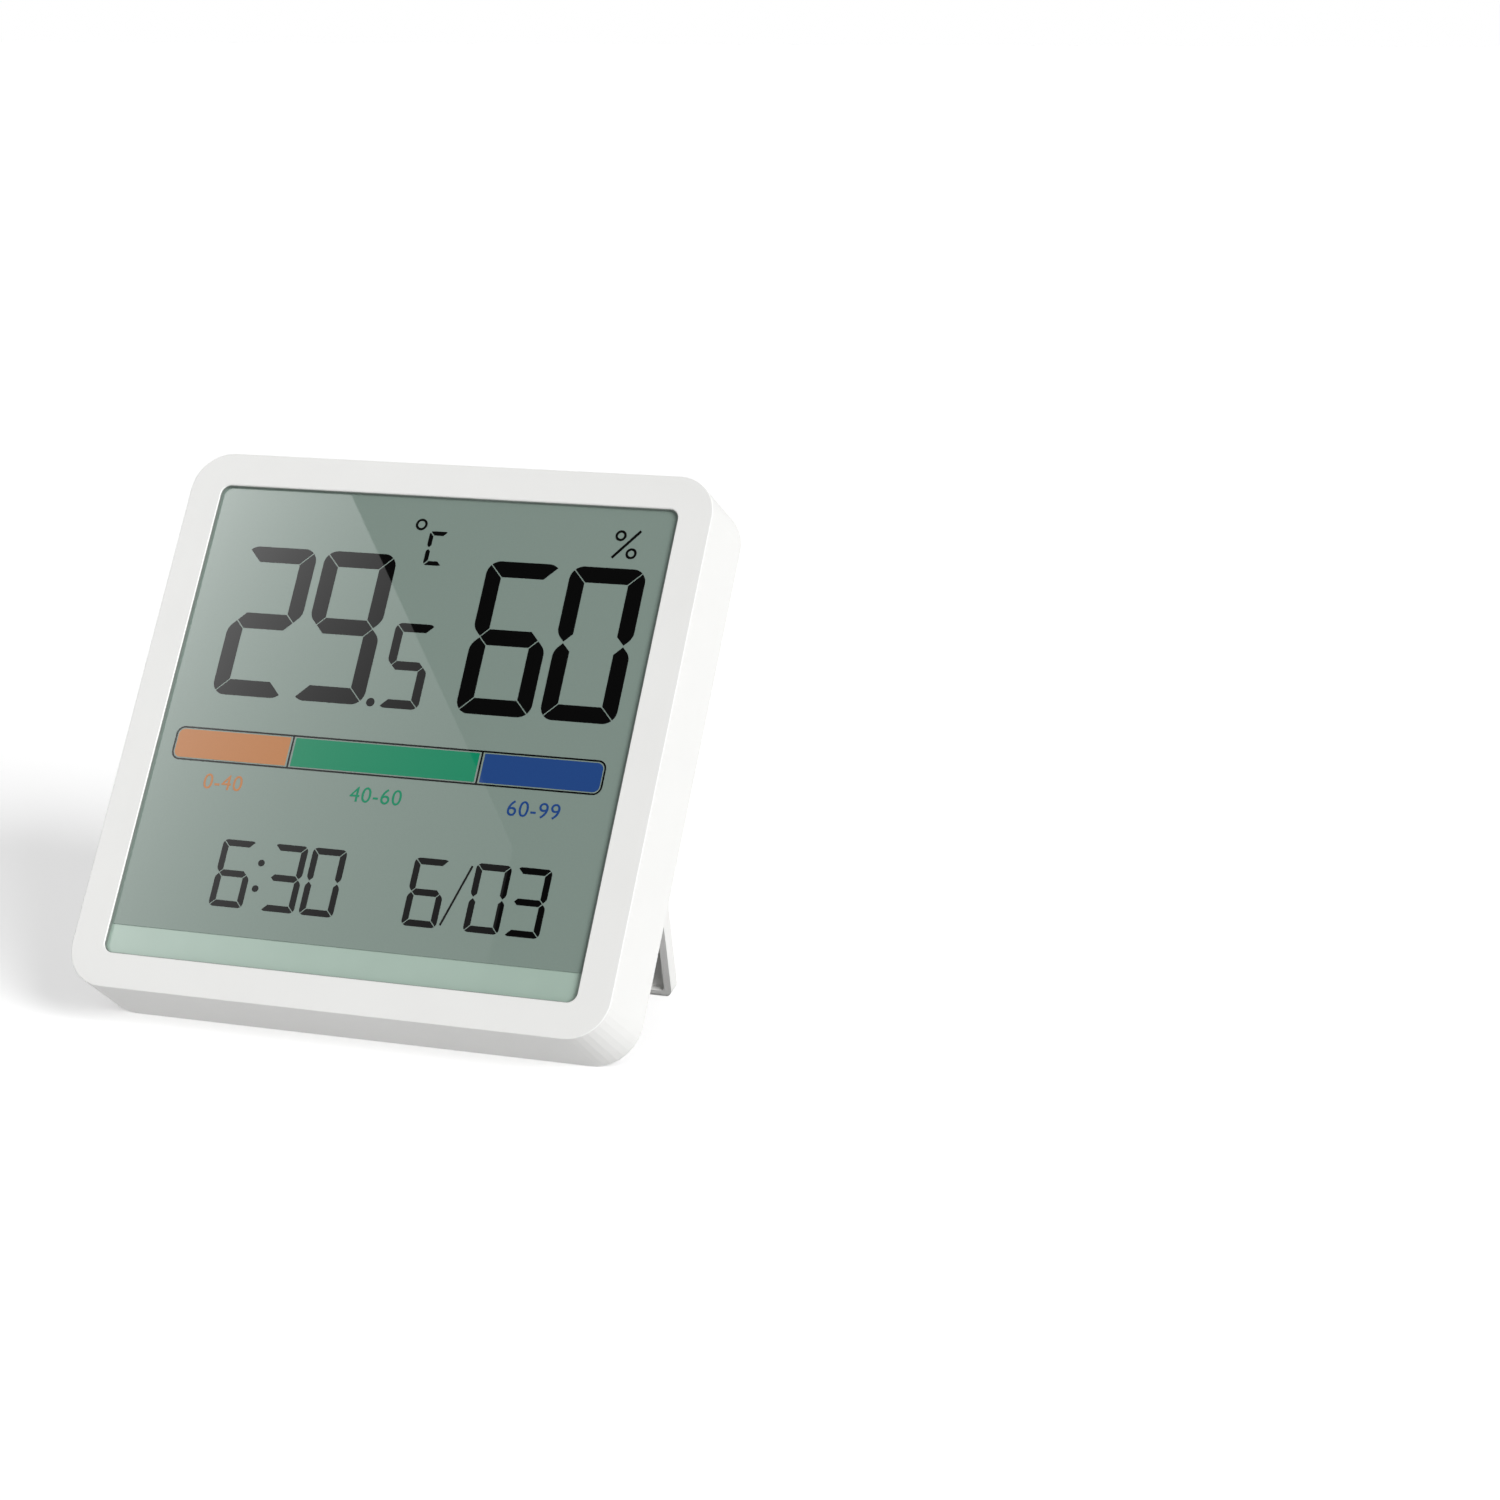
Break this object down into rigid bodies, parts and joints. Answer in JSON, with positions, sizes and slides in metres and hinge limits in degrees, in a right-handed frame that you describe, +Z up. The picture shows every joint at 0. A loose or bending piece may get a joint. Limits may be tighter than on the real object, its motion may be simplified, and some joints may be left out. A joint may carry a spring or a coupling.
{
  "type": "temperature humidity sensor",
  "caption": "Square white temperature and humidity display leaning on a folding stand, with setting buttons and a coin-cell door under the stand.",
  "frame": {"origin": "middle of the footprint on the table, under the display standing on its open stand", "axes": "+X to the viewer's right, +Y backwards away from the viewer, +Z up"},
  "size_m": [0.084, 0.0558, 0.0763],
  "materials": {
    "white_plastic": "moulded, fine satin grain",
    "gasket_rubber": "matt dark strip",
    "polariser_film": "glossy grey-green film",
    "display_glass": "polished, pale green",
    "reflector_film": "satin silver film",
    "holder_plastic": "moulded",
    "board_laminate": "green solder mask",
    "steel": "nickel plated",
    "black_plastic": "moulded",
    "foam": "open foam",
    "chip_ceramic": "ceramic chip",
    "button_plastic": "moulded, satin",
    "contact_brass": "gilded spring strip"
  },
  "bodies": {
    "case": {"front_housing": "white_plastic", "rear_cover": "white_plastic", "window_gasket": "gasket_rubber", "lcd_front_polariser": "polariser_film", "lcd_front_glass": "display_glass", "lcd_rear_glass": "display_glass", "lcd_reflector": "reflector_film", "lcd_holder": "holder_plastic", "zebra_connector": "gasket_rubber", "main_pcb": "board_laminate", "pcb_screws": "steel", "sensor_chip": "black_plastic", "sensor_baffle": "foam", "controller_blob": "black_plastic", "clock_crystal": "steel", "chip_capacitors": "chip_ceramic", "switch_bodies": "black_plastic", "negative_contact": "contact_brass", "positive_contact": "contact_brass", "cell_holder": "black_plastic", "coin_cell": "steel"},
    "stand": {"kickstand": "white_plastic", "hinge_pins": "steel"},
    "door": {"battery_door": "white_plastic"},
    "set_key": {"set_button": "button_plastic", "set_plunger": "black_plastic"},
    "up_key": {"up_button": "button_plastic", "up_plunger": "black_plastic"},
    "down_key": {"down_button": "button_plastic", "down_plunger": "black_plastic"}
  },
  "joints": [
    {"name": "stand_fold", "type": "hinge", "parent": "case", "child": "stand", "pos_m": [0, 0.00702, 0.034], "axis": [-1, 0, 0], "range_deg": [0, 47.5]},
    {"name": "door_turn", "type": "hinge", "parent": "case", "child": "door", "pos_m": [0, -0.004, 0.01994], "axis": [0, 0.836, -0.5487], "range_deg": [0, 45]},
    {"name": "set_press", "type": "slide", "parent": "case", "child": "set_key", "axis": [0, -0.836, 0.5487], "range_m": [0, 0.0004], "stiffness_N_per_m": 1500},
    {"name": "up_press", "type": "slide", "parent": "case", "child": "up_key", "axis": [0, -0.836, 0.5487], "range_m": [0, 0.0004], "stiffness_N_per_m": 1500},
    {"name": "down_press", "type": "slide", "parent": "case", "child": "down_key", "axis": [0, -0.836, 0.5487], "range_m": [0, 0.0004], "stiffness_N_per_m": 1500}
  ]
}
